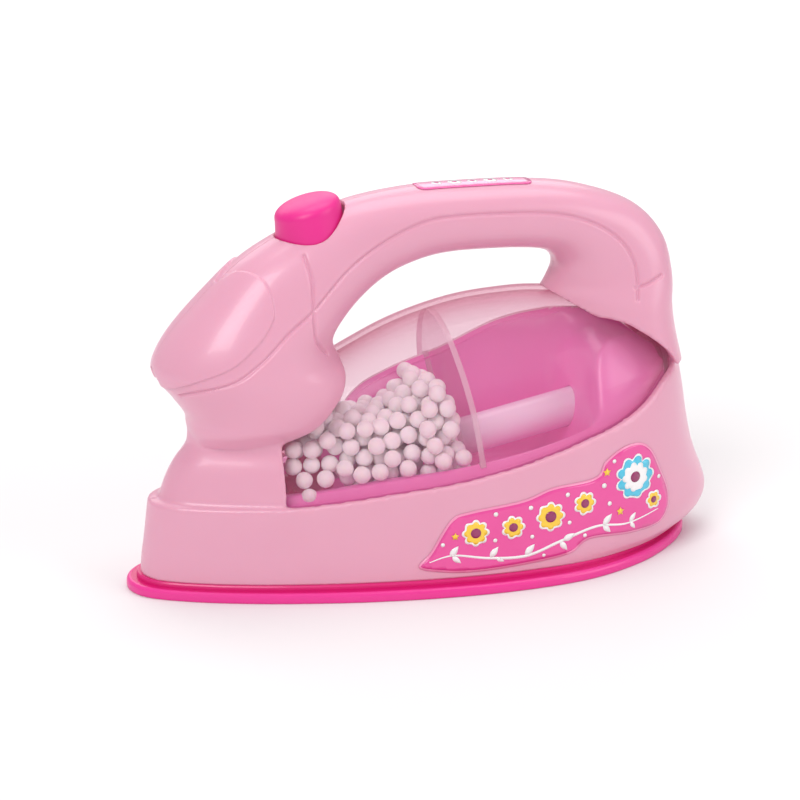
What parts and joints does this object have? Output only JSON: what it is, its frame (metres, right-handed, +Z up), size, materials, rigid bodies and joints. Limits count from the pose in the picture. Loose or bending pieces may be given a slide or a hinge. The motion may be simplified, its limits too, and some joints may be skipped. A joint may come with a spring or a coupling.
{
  "type": "toy iron",
  "caption": "Toy iron with a two-part housing, clear cover over a tray of foam beads, motor-driven paddle and push button in the handle.",
  "frame": {"origin": "on the table under the middle of the iron's length and width", "axes": "+X from the nose of the sole to the heel, +Y across the iron, +Z up"},
  "size_m": [0.12, 0.0498, 0.075],
  "materials": {
    "housing": "glossy pale pink",
    "sole": "glossy magenta",
    "cover": "clear glossy plastic",
    "tray": "glossy magenta",
    "beads": "white foam",
    "paddle": "satin pink",
    "sleeve": "milky pink",
    "button": "glossy magenta",
    "steel": "bright zinc",
    "white_plastic": "satin white",
    "black_plastic": "satin black",
    "cell_wrap": "printed sleeve",
    "board": "green board",
    "label": "glossy film",
    "handle_label": "glossy film"
  },
  "bodies": {
    "iron": {"body_left": "housing", "body_right": "housing", "sole_plate": "sole", "tank_cover": "cover", "inner_tray": "tray", "tank_partition": "cover", "foam_beads": "beads", "spindle_sleeve": "sleeve", "spindle_bushes": "white_plastic", "motor_case": "steel", "motor_end_cap": "white_plastic", "motor_bracket": "black_plastic", "batteries": "cell_wrap", "battery_case": "black_plastic", "battery_springs": "steel", "battery_contacts": "steel", "battery_cover": "sole", "battery_cover_screw": "steel", "button_spring": "steel", "switch_board": "board", "tact_switch": "black_plastic", "housing_screws": "steel", "sole_screws": "steel", "side_label": "label", "handle_label": "handle_label"},
    "rotor": {"agitator": "paddle", "drive_spindle": "steel", "shaft_coupling": "white_plastic"},
    "button": {"power_button": "button"}
  },
  "joints": [
    {"name": "button_press", "type": "slide", "parent": "iron", "child": "button", "axis": [0.1392, 0, -0.9903], "range_m": [0, 0.0016], "stiffness_N_per_m": 400, "deforming": ["button_spring"]},
    {"name": "paddle_spin", "type": "hinge", "parent": "iron", "child": "rotor", "pos_m": [-0.02376, 0, 0.01763], "axis": [0.9839, 0, 0.1788], "continuous": true}
  ]
}
